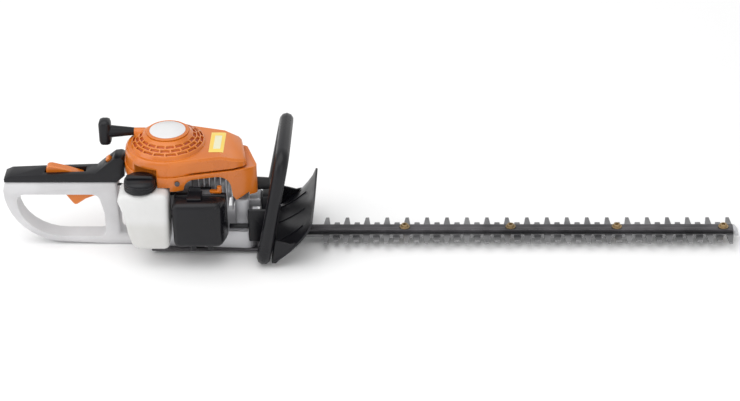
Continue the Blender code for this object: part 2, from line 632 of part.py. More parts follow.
# ---------------------------------------------------------------- covers
def soft_corner(before, at, after, radius, steps=4):
    """Points of the arc that rounds the corner `at` of an outline that runs counter-clockwise."""
    start, end = (math.degrees(math.atan2(v[1] - u[1], v[0] - u[0])) - 90
                  for u, v in ((before, at), (at, after)))
    turn = math.radians(end - start) / 2
    middle = math.radians((start + end) / 2)
    reach = radius / math.cos(turn)
    return arc(at[0] - reach * math.cos(middle), at[1] - reach * math.sin(middle), radius, start,
               end, steps)


def plan(radius, shoulder, nose, far_nose, inset=0.0, corner=0.008):
    """Plan outline of the engine casings: round about the crankshaft, then a slanted nose.

    The corners are given for inset 0; an inset outline runs that far inside them.
    """
    radius = radius - inset
    near = (shoulder[0], shoulder[1] + inset)
    tip = (nose[0] - 1.1 * inset, nose[1] + 0.8 * inset)
    far = (far_nose[0] - 1.2 * inset, far_nose[1] - inset)
    rim = arc(0, 0, radius, 65, 295, 20)
    return (rim + [near] + soft_corner(near, tip, far, max(corner - inset, 0.003))
            + soft_corner(tip, far, rim[0], max(corner - inset, 0.003)))


COVER_PLAN = (COVER_RADIUS - 0.0008, (0.097, -0.0410), (COVER_FRONT_X, -0.0310), (0.105, 0.034))
SHROUD_PLAN = (COVER_RADIUS + 0.002, (0.098, -0.0430), (0.1325, -0.0280), (0.113, 0.034))


ROPE_Y, ROPE_Z = 0.0215, 0.1733
ROPE_RADIUS = 0.0018
EYELET_X = -0.052
COVER_TOP_Z = 0.1653            # flat top beside the fan's crown
COVER_SLOPE = math.radians(18)  # of the nose, where that top falls to the front


def sloping(name, below):
    """A block over the cover's top face, which falls to the front; `below` lowers it."""
    block = box(name, (-0.12, -0.08, 0), (0.16, 0.08, 0.08))
    block.data.transform(Matrix.Translation((0.080, 0, COVER_TOP_Z - below))
                         @ Matrix.Rotation(COVER_SLOPE, 4, "Y"))
    return block


def starter_cover():
    outer = [(0, CROWN_Z), (0.0335, CROWN_Z), (0.0355, 0.1820), (0.0535, 0.1705), (0.0550, 0.1650),
             (0.0595, 0.1640), (0.0630, 0.1615), (COVER_RADIUS, 0.1580), (COVER_RADIUS, SPLIT_Z),
             (0, SPLIT_Z)]
    inner = [(0, CROWN_Z - 0.0028), (0.0325, CROWN_Z - 0.0028), (0.0515, 0.1685), (0.0525, 0.1620),
             (0.0590, 0.1610), (COVER_RADIUS - SHELL, 0.1570), (COVER_RADIUS - SHELL, SPLIT_Z - 0.005),
             (0, SPLIT_Z - 0.005)]
    cover = turned("starter_cover", outer, (0, 0, 0), look="orange_plastic", steps=36)
    tongue = flat("cover_tongue", [plan(*COVER_PLAN)], SPLIT_Z, COVER_TOP_Z - SPLIT_Z)
    combine(tongue, sloping("cover_slope", 0.0), "DIFFERENCE")
    rounded(tongue, 0.003, 1)
    room = turned("cover_room", inner, (0, 0, 0), steps=36)
    tongue_room = flat("tongue_room", [plan(*COVER_PLAN, SHELL)], SPLIT_Z - 0.005,
                       COVER_TOP_Z - SHELL - SPLIT_Z + 0.005)
    combine(tongue_room, sloping("room_slope", SHELL), "DIFFERENCE")
    cap_wall = rod("cap_wall", (CAP_X, CAP_Y, SPLIT_Z - 0.002), 0.0165, CAP_RADIUS + 0.0035)
    cap_room = rod("cap_room", (CAP_X, CAP_Y, SPLIT_Z - 0.010), 0.0220, CAP_RADIUS + 0.0015)
    clip = flat("cap_wall_clip", [plan(*COVER_PLAN, 0.0004)], SPLIT_Z, 0.0175)
    combine(clip, cap_wall, "INTERSECT")
    boss = rod("rope_boss", (EYELET_X, ROPE_Y, ROPE_Z - 0.001), 0.016, 0.0065, "X", sides=16)
    rope_hole = rod("rope_hole", (EYELET_X - 0.01, ROPE_Y, ROPE_Z), 0.04, ROPE_RADIUS + 0.0006, "X",
                    sides=12)
    post = rod("pulley_post", (0, 0, 0.158), CROWN_Z - 0.159, 0.0045, sides=16)
    cut(join(cover, tongue), room, tongue_room)
    cut(join(cover, clip, post, boss), cap_room, rope_hole, grille_slots())
    rod("cover_badge", (0, 0, CROWN_Z + GAP), 0.003, 0.031, look="badge_plastic", sides=40)


def grille_slots():
    """Three rings of slots round the crown, each ring turned half a slot from the last."""
    slots = bmesh.new()
    per_ring = 18
    for ring, (low, high) in enumerate(((0.0372, 0.0415), (0.0427, 0.0468), (0.0480, 0.0520))):
        middle = (low + high) / 2
        for number in range(per_ring):
            angle = 2 * math.pi * (number + ring / 2) / per_ring
            if abs(angle - math.radians(155)) < 0.3:
                continue
            body = bmesh.ops.create_cube(slots, size=1)["verts"]
            width = 2 * math.pi * middle / per_ring - 0.0020
            bmesh.ops.scale(slots, vec=(high - low, width, 0.05), verts=body)
            place = Matrix.Rotation(angle, 4, "Z") @ Matrix.Translation((middle, 0, 0.185))
            bmesh.ops.transform(slots, matrix=place, verts=body)
    return finish("grille_slots", to_mesh("grille_slots", slots))


SHROUD_BOTTOM_Z = 0.090


def engine_shroud():
    """A skirt round the engine under the starter cover, arched over the filter box."""
    radius = COVER_RADIUS + 0.002
    top = SPLIT_Z - GAP
    outline = plan(*SHROUD_PLAN)
    hole = plan(*SHROUD_PLAN, SHELL)[::-1]
    skirt = flat("engine_shroud", [outline, hole], SHROUD_BOTTOM_Z, top - SHROUD_BOTTOM_Z,
                 look="orange_plastic")
    deck_z = TANK_TOP_Z + 0.0013
    deck = rod("shroud_deck", (0, 0, deck_z), 0.002, radius - SHELL / 2, sides=32)
    skirt_z = deck_z - 0.0003
    edge = [(-0.1, 0.02), (-0.1, skirt_z), (0.006, skirt_z), (0.006, 0.1195), (0.025, 0.1195)]
    edge += arc(0.040, 0.121, 0.014, 175, 90, 5) + arc(0.072, 0.113, 0.022, 90, 10, 7)
    edge += [(0.0957, 0.1003), (0.1007, 0.0923), (0.1123, 0.0983), (0.1190, 0.1020), (0.1197, 0.0973),
             (0.141, 0.0973), (0.141, 0.02)]
    below = flat("shroud_below", [edge], -0.09, 0.18, "XZ")
    front = box("deck_front", (0.022, -0.0632, deck_z - 0.001), (0.08, 0.0632, deck_z + 0.003))
    combine(deck, front, "DIFFERENCE")
    cap_wall = rod("shroud_cap_wall", (CAP_X, CAP_Y, deck_z), top - deck_z, CAP_RADIUS + 0.0035)
    clip = flat("shroud_wall_clip", [plan(*SHROUD_PLAN, 0.0004)], deck_z, top - deck_z)
    ledge = flat("shroud_ledge", [plan(*SHROUD_PLAN, 0.0010), plan(*COVER_PLAN, 0.0050)[::-1]],
                 top - SHELL, SHELL - 0.0003)
    combine(clip, cap_wall, "INTERSECT")
    cap_room = rod("shroud_cap_room", (CAP_X, CAP_Y, 0.09), 0.09, CAP_RADIUS + 0.0015)
    shaft_hole = rod("shaft_hole", (0, 0, 0.10), 0.05, 0.012)
    boot_hole = rod("boot_hole", (0.112, 0, CYLINDER_Z), 0.03, 0.0135, "X", sides=16)
    cut(join(skirt, deck, clip), below, cap_room, shaft_hole, boot_hole)
    join(skirt, cut(ledge, cap_room))
    screw_x, screw_z = 0.0175, 0.1335
    wall_y = -math.sqrt(radius ** 2 - screw_x ** 2)
    rod("cover_screw", (screw_x, wall_y - 0.0046, screw_z), 0.0030, 0.0038, "Y", "dark_steel", sides=12)


# ---------------------------------------------------------------- starter
PULLEY_Z = 0.1690


def starter():
    groove = ROPE_Y - ROPE_RADIUS - 0.0006
    profile = [(0, 0.0086), (0.0238, 0.0086), (0.0238, 0.0071), (groove, 0.0071), (groove, 0.0015),
               (0.0238, 0.0015), (0.0238, 0), (0, 0)]
    pulley = turned("rope_pulley", profile, (0, 0, PULLEY_Z), look="white_plastic", steps=20)
    cut(pulley, rod("pulley_bore", (0, 0, PULLEY_Z - 0.001), 0.012, 0.0045 + FIT, sides=16))
    turns, steps = 3, 42
    inner, outer = [], []
    for step in range(steps + 1):
        angle = 2 * math.pi * turns * step / steps
        radius = 0.0070 + 0.013 * step / steps
        inner.append((radius * math.cos(angle), radius * math.sin(angle)))
        outer.append(((radius + 0.0012) * math.cos(angle), (radius + 0.0012) * math.sin(angle)))
    flat("recoil_spring", [outer + inner[::-1]], 0.1600, 0.0060, look="dark_steel")
    grip_x = EYELET_X - GAP
    rod("starter_rope", (grip_x - 0.032, ROPE_Y, ROPE_Z), 0.032 + 0.0820, ROPE_RADIUS, "X", "rope",
        sides=12)
    grip = rod("starter_grip", (grip_x - 0.036, ROPE_Y, ROPE_Z), 0.036, 0.0095, "X", "rubber",
               end_radius=0.0058)
    head = box("grip_head", (grip_x - 0.052, ROPE_Y - 0.011, ROPE_Z - 0.020),
               (grip_x - 0.034, ROPE_Y + 0.011, ROPE_Z + 0.020), edge=0.006)
    hole = rod("grip_hole", (grip_x - 0.0323, ROPE_Y, ROPE_Z), 0.05, ROPE_RADIUS + GAP, "X", sides=12)
    cut(join(grip, head), hole)


# ---------------------------------------------------------------- fuel tank
TANK_BACK_Y = -0.040
TANK_FRONT_Y = -0.088


def fuel_tank():
    def side(inset):
        low, high = 0.033 + inset, TANK_TOP_Z - inset
        return [(-0.068 + inset, high), (-0.070 + inset, 0.112), (-0.062 + inset, 0.086),
                (-0.058 + inset, 0.060), (-0.053 + inset, 0.042), (-0.044 + inset, low),
                (0.003 - inset, low), (0.004 - inset, 0.070), (0.004 - inset, high)]
    depth = TANK_BACK_Y - TANK_FRONT_Y
    tank = flat("fuel_tank", [side(0)], TANK_FRONT_Y, depth, "XZ", "tank_plastic")
    rounded(tank, 0.008, 3, 50)
    inside = flat("tank_inside", [side(SHELL)], TANK_FRONT_Y + SHELL, depth - 2 * SHELL, "XZ")
    rounded(inside, 0.006, 2, 50)
    neck = rod("tank_neck", (CAP_X, CAP_Y, TANK_TOP_Z - 0.004), 0.013, 0.016)
    mouth = rod("tank_mouth", (CAP_X, CAP_Y, TANK_TOP_Z - 0.008), 0.03, 0.0135)
    cut(join(tank, neck), inside, mouth)
    bottom, height = TANK_TOP_Z + GAP, 0.0222
    cap = rod("filler_cap", (CAP_X, CAP_Y, bottom), height - 0.004, CAP_RADIUS, look="black_plastic",
              pivot=(CAP_X, CAP_Y, bottom), sides=32)
    grip = box("cap_grip", (CAP_X - 0.020, CAP_Y - 0.0055, bottom + 0.004),
               (CAP_X + 0.020, CAP_Y + 0.0055, bottom + height), edge=0.002, steps=1)
    skirt_room = rod("cap_inside", (CAP_X, CAP_Y, bottom - 0.001), 0.013, 0.0165)
    cut(join(cap, grip), skirt_room)


# ---------------------------------------------------------------- rear handle
HANDLE_FRONT_X = -0.078
TRIGGER_PIVOT = (-0.111, 0, 0.0965)
LOCKOUT_PIVOT = (-0.132, 0, 0.1125)


def rear_handle():
    """The white frame: grip, rear post and lower bar round the finger opening."""
    half = HANDLE_WIDTH / 2
    outer = ([(HANDLE_FRONT_X, HANDLE_SPLIT_Z)] + [(HANDLE_REAR_X + 0.004, HANDLE_SPLIT_Z)]
             + arc(-0.160, 0.090, -0.160 - HANDLE_REAR_X, 180, 270, 10, 0.087)
             + [(-0.100, 0), (-0.048, 0), (-0.048, 0.026), (-0.062, 0.026), (-0.066, 0.016),
                (HANDLE_FRONT_X, 0.020)])
    opening = (arc(-0.160, 0.074, 0.070, 180, 270, 8, 0.060)
               + arc(-0.110, 0.024, 0.010, -90, 0, 4)
               + [(-0.1005, 0.055), (-0.104, 0.070)] + arc(-0.117, 0.074, 0.012, 0, 90, 4)
               + arc(-0.218, 0.074, 0.012, 90, 180, 4)[:-1])
    frame = flat("rear_handle", [outer], -half, HANDLE_WIDTH, "XZ", "white_plastic")
    rounded(frame, 0.005, 2, 50)
    fingers = flat("finger_opening", [opening], -half - 0.01, HANDLE_WIDTH + 0.02, "XZ")
    channel = box("grip_channel", (-0.232, -0.011, 0.0945), (-0.083, 0.011, 0.12))
    trigger_slot = box("trigger_slot", (-0.164, -0.0068, 0.06), (-0.1035, 0.0068, 0.10))
    cut(frame, fingers, channel, trigger_slot)
    top = HANDLE_SPLIT_Z + GAP
    crest = ([(HANDLE_FRONT_X, top), (-0.066, 0.118), (-0.066, 0.142)]
             + arc(-0.072, 0.141, 0.006, 10, 100, 3)
             + [(-0.080, 0.146), (-0.099, 0.131), (-0.109, 0.1222), (-0.190, 0.1195), (-0.236, 0.1175),
                (HANDLE_REAR_X + 0.004, 0.113), (HANDLE_REAR_X + 0.004, top)])
    cover = flat("grip_cover", [crest], -half, HANDLE_WIDTH, "XZ", "black_plastic")
    rounded(cover, 0.005, 2, 50)
    hollow = box("cover_hollow", (-0.232, -0.011, 0.10), (-0.083, 0.011, 0.1160))
    lever_slot = box("lockout_slot", (-0.1865, -0.0075, 0.11), (-0.1245, 0.0075, 0.13))
    turn = Matrix.Rotation(math.atan2(0.015, 0.019), 4, "Y")
    switch_room = box("switch_room", (-0.0065, -0.0062, -0.0040), (0.0065, 0.0062, 0.01))
    switch_room.data.transform(Matrix.Translation((-0.0895, 0, 0.1385)) @ turn.inverted())
    cut(cover, hollow, lever_slot, switch_room)
    controls(turn.inverted())


def controls(slope):
    trigger = [(-0.108, 0.0905)] + arc(-0.111, 0.0965, 0.0055, -20, 150, 5)
    trigger += [(-0.155, 0.0945), (-0.160, 0.090), (-0.157, 0.080), (-0.1465, 0.0645),
                (-0.1425, 0.0635), (-0.128, 0.0735), (-0.113, 0.0795)]
    piece = flat("throttle_trigger", [trigger], -0.006, 0.012, "XZ", "orange_plastic", TRIGGER_PIVOT)
    rounded(piece, 0.0015, 1)
    lever = arc(LOCKOUT_PIVOT[0], LOCKOUT_PIVOT[2], 0.0045, -90, 60, 4)
    lever += [(-0.153, 0.1245), (-0.1745, 0.1300), (-0.1800, 0.1300), (-0.1835, 0.1265), (-0.1835, 0.1110),
              (-0.178, 0.1090)]
    piece = flat("lockout_lever", [lever], -0.0068, 0.0136, "XZ", "orange_plastic", LOCKOUT_PIVOT)
    rounded(piece, 0.0015, 1)
    switch = box("stop_switch", (-0.0035, -0.0057, -0.0036), (0.0035, 0.0057, 0.0040), "orange_plastic",
                 edge=0.001, steps=1)
    switch.data.transform(slope)
    switch.location = (-0.0895, 0, 0.1385)


def buffers():
    """Rubber mounts between the rear handle and the engine."""
    upper_start = HANDLE_FRONT_X + GAP
    rod("av_buffer_1", (upper_start, 0, 0.070), -0.066 - GAP - upper_start, 0.0095, "X", "rubber", sides=20)
    rod("av_buffer_2", (-0.048 + GAP, 0, 0.0150), 0.0134, 0.0060, "X", "rubber", sides=16)


# ---------------------------------------------------------------- gear housing, front handle, guard
HOUSING_BACK_X = -0.034
HOUSING_FRONT_X = 0.1265
HOUSING_HALF = 0.040
HOUSING_BOTTOM_Z = 0.0086
HOUSING_TOP_Z = 0.0366


def gear_housing():
    outline = (arc(HOUSING_FRONT_X - 0.014, -HOUSING_HALF + 0.014, 0.014, -90, 0, 4)
               + arc(HOUSING_FRONT_X - 0.014, HOUSING_HALF - 0.014, 0.014, 0, 90, 4)
               + arc(0, 0, -HOUSING_BACK_X, 110, 250, 14))
    house = flat("gear_housing", [outline], HOUSING_BOTTOM_Z, HOUSING_TOP_Z - HOUSING_BOTTOM_Z,
                 look="cast_metal")
    ring_top = CYLINDER_Z - 0.0293
    ring = rod("clutch_ring", (0, 0, HOUSING_TOP_Z - 0.002), ring_top - HOUSING_TOP_Z + 0.002, 0.0325,
               sides=32)
    tower = box("mount_tower", (0.0960, -0.028, HOUSING_TOP_Z - 0.002), (0.1175, 0.028, 0.0850), edge=0.004)
    hook = box("mount_hook", (0.110, -0.015, 0.0640), (0.1345, 0.015, 0.0790), edge=0.003)
    drum_room = rod("drum_room", (0, 0, DECK_Z + DECK_THICKNESS), 0.05, 0.0290, sides=32)
    gear_radius = GEAR_MODULE * GEAR_TEETH / 2 + 0.0035
    gear_room = rod("gear_room", (GEAR_X, 0, 0), DECK_Z, gear_radius, sides=40)
    pinion_room = rod("pinion_room", (0, 0, 0), DECK_Z, 0.0135)
    yoke_reach = WINDOW + BLADE_STROKE
    yoke_room = box("yoke_room", (GEAR_X - yoke_reach - YOKE_BACK - 0.008, -WINDOW - 0.008, 0),
                    (GEAR_X + yoke_reach + YOKE_FRONT + YOKE_TAPER + 0.0015, WINDOW + 0.008,
                     BLADE_TOP_Z + GAP))
    channel = box("blade_channel", (GEAR_X, -0.0150, 0), (0.14, 0.0150, BLADE_TOP_Z + GAP))
    bar_room = box("bar_room", (BAR_START_X - GAP, -BAR_WIDTH / 2 - GAP, 0.01),
                   (0.14, BAR_WIDTH / 2 + GAP, BAR_TOP_Z + GAP))
    neck_hole = rod("neck_hole", (0, 0, 0.02), 0.02, 0.005 + FIT)
    shaft_hole = rod("gear_shaft_hole", (GEAR_X, 0, 0.02), DECK_Z + 0.0033 - 0.02, 0.005 + FIT)
    cut(join(house, ring, tower, hook), drum_room, gear_room, pinion_room, yoke_room, channel, bar_room,
        neck_hole, shaft_hole)


BASE_TOP_Z = HOUSING_BOTTOM_Z - GAP
LOOP_FOOT_X = 0.139
LOOP_FOOT_Z = LOOP_RADIUS
SOCKET_Y = 0.046


def base_plate():
    plate = box("base_plate", (HOUSING_BACK_X + 0.004, -0.042, 0.0040), (0.150, 0.042, BASE_TOP_Z),
                "dark_steel", edge=0.0015, steps=1)
    for side in (-1, 1):
        low, high = sorted((side * 0.031, side * (SOCKET_Y - GAP)))
        lug = box("loop_lug_%d" % side, (LOOP_FOOT_X - 0.0105, low, 0.0045),
                  (LOOP_FOOT_X + 0.0105, high, 0.0215), edge=0.002, steps=1)
        join(plate, lug)


def front_handle():
    """The loop leans forward from its feet on the base plate to the crossbar."""
    top_x = 0.1715
    half = []
    for y, x, z in ((SOCKET_Y, LOOP_FOOT_X, LOOP_FOOT_Z), (LOOP_HALF_WIDTH, LOOP_FOOT_X, LOOP_FOOT_Z),
                    (LOOP_TOP_HALF_WIDTH, top_x, LOOP_TOP_Z)):
        half.append((x, y, z))
    points = [(x, -y, z) for x, y, z in half] + half[::-1]
    tube("front_handle", points, LOOP_RADIUS, "black_plastic", bend=0.022, sides=3)


def hand_guard():
    """A leaning shield between the loop and the blades, on a saddle over the blade exit."""
    columns, rows = 12, 6
    shape = bmesh.new()
    bmesh.ops.create_grid(shape, x_segments=columns, y_segments=rows, size=1)
    start_x, low_z = 0.1525, 0.0255
    for vertex in shape.verts:
        across, up = vertex.co.x, (vertex.co.y + 1) / 2
        bottom = low_z - 0.016 * abs(across) ** 3
        drop = 0.006 * (1 - across ** 2)
        x = start_x + (GUARD_RIM_X - start_x) * (1 - (1 - up) ** 1.35)
        z = bottom + (GUARD_RIM_Z - drop - bottom) * up ** 1.15
        vertex.co = (x, across * GUARD_HALF_WIDTH, z)
    shield = finish("hand_guard", to_mesh("hand_guard", shape), "black_plastic")
    solidify = shield.modifiers.new("Solidify", "SOLIDIFY")
    solidify.thickness = 0.003
    solidify.offset = 0
    saddle = box("guard_saddle", (HOUSING_FRONT_X + 0.001, -0.0465, 0.0235), (0.156, 0.0465, 0.040),
                 edge=0.002, steps=1)
    post = box("guard_post", (0.1348, -0.018, 0.030), (0.150, 0.018, 0.083), edge=0.002, steps=1)
    cheek = box("guard_cheek", (0.1165, -0.0465, 0.0235), (0.150, -0.0425, 0.078), edge=0.0015, steps=1)
    join(shield, saddle, post, cheek)
    for side in (-1, 1):
        gusset = [(0.1520, 0.0085), (0.1580, 0.0085), (0.1880, 0.0420), (0.1800, 0.0400), (0.1590, 0.0460)]
        start = side * (GUARD_HALF_WIDTH - 0.0020) - 0.0015
        join(shield, flat("guard_gusset_%d" % side, [gusset], start, 0.003, "XZ"))


def small_lines():
    """Throttle cable, fuel hose and the stay between the filter box and the guard."""
    beside_case = -0.0358
    tube("throttle_cable", [(HANDLE_FRONT_X + GAP, -0.008, 0.100), (-0.071, -0.008, 0.100),
                            (-0.062, beside_case, 0.100), (0.020, beside_case, 0.100),
                            (0.028, -0.045, 0.100), (PORT_X - 0.0153, -0.045, 0.100)], 0.0022, "rubber",
         bend=0.003, sides=1)
    tube("fuel_hose", [(-0.010, TANK_BACK_Y + 0.0030, 0.060), (0.012, TANK_BACK_Y + 0.0030, 0.062),
                       (0.048, -0.0430, 0.066), (0.048, -0.0430, CYLINDER_Z - 0.0146)], 0.0022, "rubber",
         bend=0.008, sides=1)
    rod("stay_rod", (0.0885, -0.0445, 0.0495), 0.0277, 0.0040, "X", "black_plastic", sides=16)


def hedge_trimmer():
    blades()
    guide_bar()
    bar_bolts()
    drive_gear()
    clutch()
    crankshaft()
    piston_group()
    flywheel()
    crankcase()
    cylinder()
    ignition()
    filter_box(intake())
    exhaust()
    starter_cover()
    engine_shroud()
    starter()
    fuel_tank()
    rear_handle()
    buffers()
    gear_housing()
    base_plate()
    front_handle()
    hand_guard()
    small_lines()


hedge_trimmer()
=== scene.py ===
import json
import math

import bmesh
import bpy
from mathutils import Matrix, Vector

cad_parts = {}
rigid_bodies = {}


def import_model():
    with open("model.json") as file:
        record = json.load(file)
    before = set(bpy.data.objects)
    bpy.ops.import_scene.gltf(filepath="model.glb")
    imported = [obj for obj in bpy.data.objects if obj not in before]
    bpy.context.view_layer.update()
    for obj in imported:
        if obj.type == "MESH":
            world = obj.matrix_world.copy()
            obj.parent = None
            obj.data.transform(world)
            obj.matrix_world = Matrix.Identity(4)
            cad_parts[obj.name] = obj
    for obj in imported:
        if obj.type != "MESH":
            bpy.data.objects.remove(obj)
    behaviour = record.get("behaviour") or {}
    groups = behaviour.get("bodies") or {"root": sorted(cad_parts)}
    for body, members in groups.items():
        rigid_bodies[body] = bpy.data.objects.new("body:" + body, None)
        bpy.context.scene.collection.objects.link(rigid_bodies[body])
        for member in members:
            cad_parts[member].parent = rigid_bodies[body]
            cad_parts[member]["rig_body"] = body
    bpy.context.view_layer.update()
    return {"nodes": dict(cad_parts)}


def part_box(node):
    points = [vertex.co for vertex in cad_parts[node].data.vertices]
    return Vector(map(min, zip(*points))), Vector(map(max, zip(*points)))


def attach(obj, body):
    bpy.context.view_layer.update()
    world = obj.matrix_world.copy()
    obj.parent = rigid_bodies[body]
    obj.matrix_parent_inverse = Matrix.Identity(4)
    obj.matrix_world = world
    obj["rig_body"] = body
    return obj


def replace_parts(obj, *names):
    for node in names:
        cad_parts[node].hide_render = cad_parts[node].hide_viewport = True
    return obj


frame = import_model()
bpy.ops.object.select_all(action="DESELECT")

# The camera stands well back and looks down on the machine from the operator's right, as one
# looks at a hedge trimmer lying on a bench. There is no depth of field and no shift.
round_to_the_right, down, roll = (math.radians(angle) for angle in (2.358, 30.0, -1.244))
bench_view = bpy.data.cameras.new("bench_view")
bench_view.lens, bench_view.sensor_width = 126.3, 36.0
camera = bpy.data.objects.new("bench_view", bench_view)
camera.matrix_world = (Matrix.Translation((0.1364, -3.3381, 1.9958))
                       @ Matrix.Rotation(round_to_the_right, 4, "Z")
                       @ Matrix.Rotation(math.pi / 2 - down, 4, "X")
                       @ Matrix.Rotation(roll, 4, "Z"))
bpy.context.collection.objects.link(camera)
bpy.context.scene.camera = camera


# The two blades are stamped and hardened tool steel, ground bright on their faces, with the
# teeth's edges ground back at a slant. They slide on each other under the guide bar.
def material(name, colour, rough, metal=0.0, coat=0.0):
    """A new finish, with its shader and its Object coordinates to build on."""
    made = bpy.data.materials.new(name)
    made.use_nodes = True
    nodes = made.node_tree.nodes
    shader = nodes["Principled BSDF"]
    shader.inputs["Base Color"].default_value = (*colour, 1)
    shader.inputs["Roughness"].default_value = rough
    shader.inputs["Metallic"].default_value = metal
    shader.inputs["Coat Weight"].default_value = coat
    shader.inputs["Coat Roughness"].default_value = 0.2
    where = nodes.new("ShaderNodeTexCoord").outputs["Object"]
    return made, nodes, made.node_tree.links, shader, where


def noise(nodes, links, where, size, detail=3.0, stretch=None):
    """Noise whose blotches are about `size` metres, drawn out along an axis by `stretch`."""
    if stretch:
        mapping = nodes.new("ShaderNodeMapping")
        mapping.inputs["Scale"].default_value = stretch
        links.new(where, mapping.inputs["Vector"])
        where = mapping.outputs["Vector"]
    texture = nodes.new("ShaderNodeTexNoise")
    texture.inputs["Scale"].default_value = 1 / size
    texture.inputs["Detail"].default_value = detail
    links.new(where, texture.inputs["Vector"])
    return texture.outputs["Fac"]


def ramp(nodes, links, value, *stops):
    """A colour ramp over `value`; each stop is (place, colour)."""
    made = nodes.new("ShaderNodeValToRGB")
    while len(made.color_ramp.elements) < len(stops):
        made.color_ramp.elements.new(0.5)
    for element, (place, colour) in zip(made.color_ramp.elements, stops):
        element.position = place
        element.color = (*colour, 1)
    links.new(value, made.inputs["Fac"])
    return made.outputs["Color"]


def spread(nodes, links, value, low, high, start=0.3, end=0.7):
    """`value` taken from start..end to low..high."""
    made = nodes.new("ShaderNodeMapRange")
    for socket, number in zip(("From Min", "From Max", "To Min", "To Max"), (start, end, low, high)):
        made.inputs[socket].default_value = number
    links.new(value, made.inputs["Value"])
    return made.outputs["Result"]


def bump(nodes, links, shader, height, depth):
    """Relief `depth` metres deep on the shader's normal, over any relief that is there."""
    made = nodes.new("ShaderNodeBump")
    made.inputs["Distance"].default_value = depth
    links.new(height, made.inputs["Height"])
    if shader.inputs["Normal"].is_linked:
        links.new(shader.inputs["Normal"].links[0].from_socket, made.inputs["Normal"])
    links.new(made.outputs["Normal"], shader.inputs["Normal"])


def edges(nodes, links, width):
    """1 along the corners of a piece and 0 on its flats."""
    start, end = 0.02, 0.25
    soft = nodes.new("ShaderNodeBevel")
    soft.samples = 4
    soft.inputs["Radius"].default_value = width
    sharp = nodes.new("ShaderNodeNewGeometry")
    dot = nodes.new("ShaderNodeVectorMath")
    dot.operation = "DOT_PRODUCT"
    links.new(soft.outputs["Normal"], dot.inputs[0])
    links.new(sharp.outputs["Normal"], dot.inputs[1])
    made = nodes.new("ShaderNodeMapRange")
    for socket, number in zip(("From Min", "From Max", "To Min", "To Max"), (1 - start, 1 - end, 0, 1)):
        made.inputs[socket].default_value = number
    links.new(dot.outputs["Value"], made.inputs["Value"])
    return made.outputs["Result"]


def blend_colour(nodes, links, share, first, second):
    """`first` where share is 0 and `second` where it is 1; each is a socket or a colour."""
    made = nodes.new("ShaderNodeMix")
    made.data_type = "RGBA"
    links.new(share, made.inputs["Factor"])
    for socket, value in ((made.inputs[6], first), (made.inputs[7], second)):
        if isinstance(value, tuple):
            socket.default_value = (*value, 1)
        else:
            links.new(value, socket)
    return made.outputs[2]


def metal_finish(name, bright, dull, rough, grain, depth, stretch=None, metal=1.0, worn=None):
    """Metal with a grain, a dulled film in patches and, where `worn` is given, bright corners."""
    made, nodes, links, shader, where = material(name, bright, rough, metal)
    film = noise(nodes, links, where, 0.045, 5.0)
    fine = noise(nodes, links, where, grain, 4.0, stretch)
    colour = ramp(nodes, links, film, (0.38, dull), (0.62, bright))
    if worn:
        colour = blend_colour(nodes, links, edges(nodes, links, 0.0012), colour, worn)
    links.new(colour, shader.inputs["Base Color"])
    links.new(spread(nodes, links, fine, rough - 0.08, rough + 0.12), shader.inputs["Roughness"])
    bump(nodes, links, shader, fine, depth)
    return made


def dressed(node, finish, corner=0.0004, smooth=32):
    """A finished copy of a CAD solid that stands for it: welded, corners broken, curves smooth."""
    corners_over = 50
    source = frame["nodes"][node]
    piece = bpy.data.objects.new(node + "_finished", source.data.copy())
    bpy.context.collection.objects.link(piece)
    bpy.ops.object.select_all(action="DESELECT")
    bpy.context.view_layer.objects.active = piece
    piece.select_set(True)
    bpy.ops.object.mode_set(mode="EDIT")
    bpy.ops.mesh.select_all(action="SELECT")
    bpy.ops.mesh.remove_doubles(threshold=2e-6)
    bpy.ops.mesh.dissolve_limited(angle_limit=math.radians(0.6))
    bpy.ops.object.mode_set(mode="OBJECT")
    if corner:
        round_off = piece.modifiers.new("corners", "BEVEL")
        round_off.width = corner
        round_off.segments = 2
        round_off.limit_method = "ANGLE"
        round_off.angle_limit = math.radians(corners_over)
        round_off.use_clamp_overlap = True
        bpy.ops.object.modifier_apply(modifier="corners")
    bpy.ops.object.shade_smooth_by_angle(angle=math.radians(smooth))
    piece.data.materials.clear()
    piece.data.materials.append(finish)
    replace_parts(piece, node)
    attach(piece, source["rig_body"])
    piece.select_set(False)
    return piece


ground_steel = metal_finish("ground_steel", (0.26, 0.26, 0.265), (0.17, 0.17, 0.175), 0.36,
                            0.0009, 0.00003, stretch=(1, 0.08, 1), worn=(0.50, 0.50, 0.50))
spine_half, ground_width, ground_depth = 0.0140, 0.0019, 0.0011
for node in ("upper_blade", "lower_blade"):
    blade = dressed(node, ground_steel, corner=0)
    top_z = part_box(node)[1].z
    bpy.context.view_layer.objects.active = blade
    blade.select_set(True)
    bpy.ops.object.mode_set(mode="EDIT")
    bpy.ops.mesh.select_all(action="SELECT")
    stretch = ground_width / ground_depth
    bpy.ops.transform.resize(value=(1, 1, stretch), center_override=(0, 0, top_z))
    bpy.ops.mesh.select_all(action="DESELECT")
    bpy.ops.mesh.select_mode(type="EDGE")
    shape = bmesh.from_edit_mesh(blade.data)
    for edge in shape.edges:
        level = all(abs(v.co.z - top_z) < 1e-5 for v in edge.verts)
        middle = (edge.verts[0].co + edge.verts[1].co) / 2
        edge.select_set(level and abs(middle.y) > spine_half and edge.calc_face_angle(0) > 1)
    bmesh.update_edit_mesh(blade.data)
    bpy.ops.mesh.bevel(offset=ground_width, segments=1, clamp_overlap=True)
    bpy.ops.mesh.select_all(action="SELECT")
    bpy.ops.transform.resize(value=(1, 1, 1 / stretch), center_override=(0, 0, top_z))
    bpy.ops.object.mode_set(mode="OBJECT")
    bpy.ops.object.shade_smooth_by_angle(angle=math.radians(12))
    blade.select_set(False)


